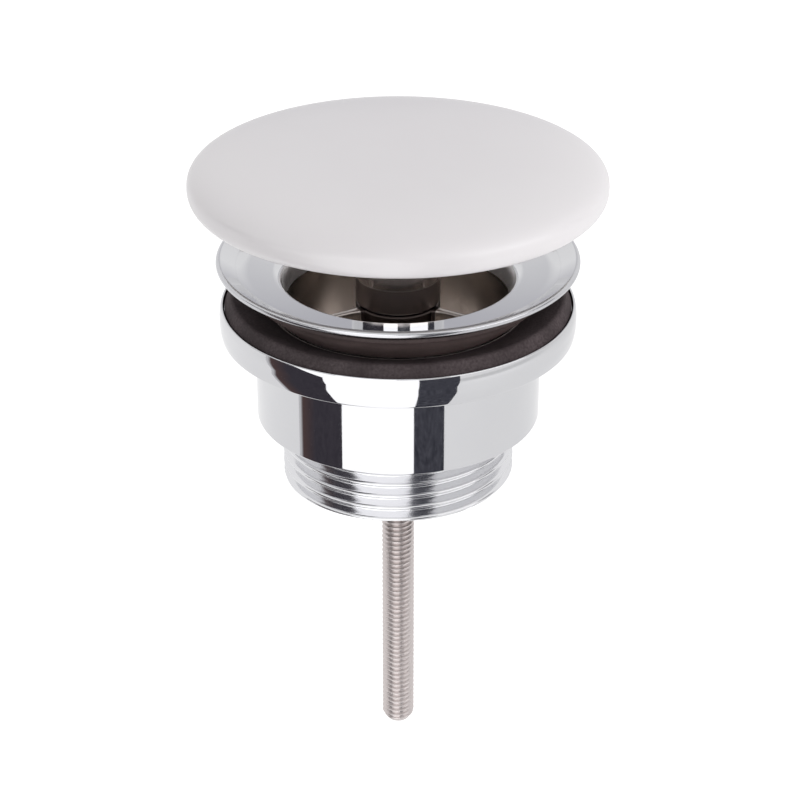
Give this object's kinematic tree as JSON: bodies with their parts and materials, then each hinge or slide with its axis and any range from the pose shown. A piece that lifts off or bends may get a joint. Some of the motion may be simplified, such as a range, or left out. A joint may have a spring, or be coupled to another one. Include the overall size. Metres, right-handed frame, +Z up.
{
  "type": "basin waste",
  "caption": "Free-flow basin waste: domed ceramic cap on a post, dished chrome flange, seals, body with a pipe-threaded tail, and a central clamping rod.",
  "frame": {"origin": "on the axis, in the plane where the flange's rim rests on the basin", "axes": "+Z up along the axis, from the threaded tail to the cap; one spoke of the flange points along +Y"},
  "size_m": [0.073, 0.073, 0.1171],
  "materials": {
    "glazed_cap": "gloss",
    "socket_plastic": "matte",
    "o_ring_rubber": "satin",
    "post_chrome": "polished",
    "washer_plastic": "satin",
    "flange_chrome": "polished",
    "seal_rubber": "matte",
    "foam_rubber": "matte",
    "body_chrome": "polished",
    "rod_steel": "satin"
  },
  "bodies": {
    "flange": {"flange": "flange_chrome", "flange_seal": "seal_rubber", "post_washer": "washer_plastic"},
    "spindle": {"post": "post_chrome", "clamp_rod": "rod_steel", "upper_o_ring": "o_ring_rubber", "lower_o_ring": "o_ring_rubber"},
    "cap": {"ceramic_cap": "glazed_cap", "cap_socket": "socket_plastic"},
    "waste_body": {"waste_body": "body_chrome", "basin_seal": "foam_rubber"}
  },
  "joints": [
    {"name": "spindle_turn", "type": "hinge", "parent": "flange", "child": "spindle", "pos_m": [0, 0, -0.00735], "axis": [0, 0, 1], "range_deg": [0, 18000]},
    {"name": "clamp_travel", "type": "slide", "parent": "flange", "child": "waste_body", "axis": [0, 0, -1], "range_m": [0, 0.05]},
    {"name": "cap_lift", "type": "slide", "parent": "spindle", "child": "cap", "axis": [0, 0, 1], "range_m": [0, 0.03]}
  ],
  "couplings": [
    {"joint": "clamp_travel", "follows": "spindle_turn", "m_per_rad": 0.00015915}
  ]
}
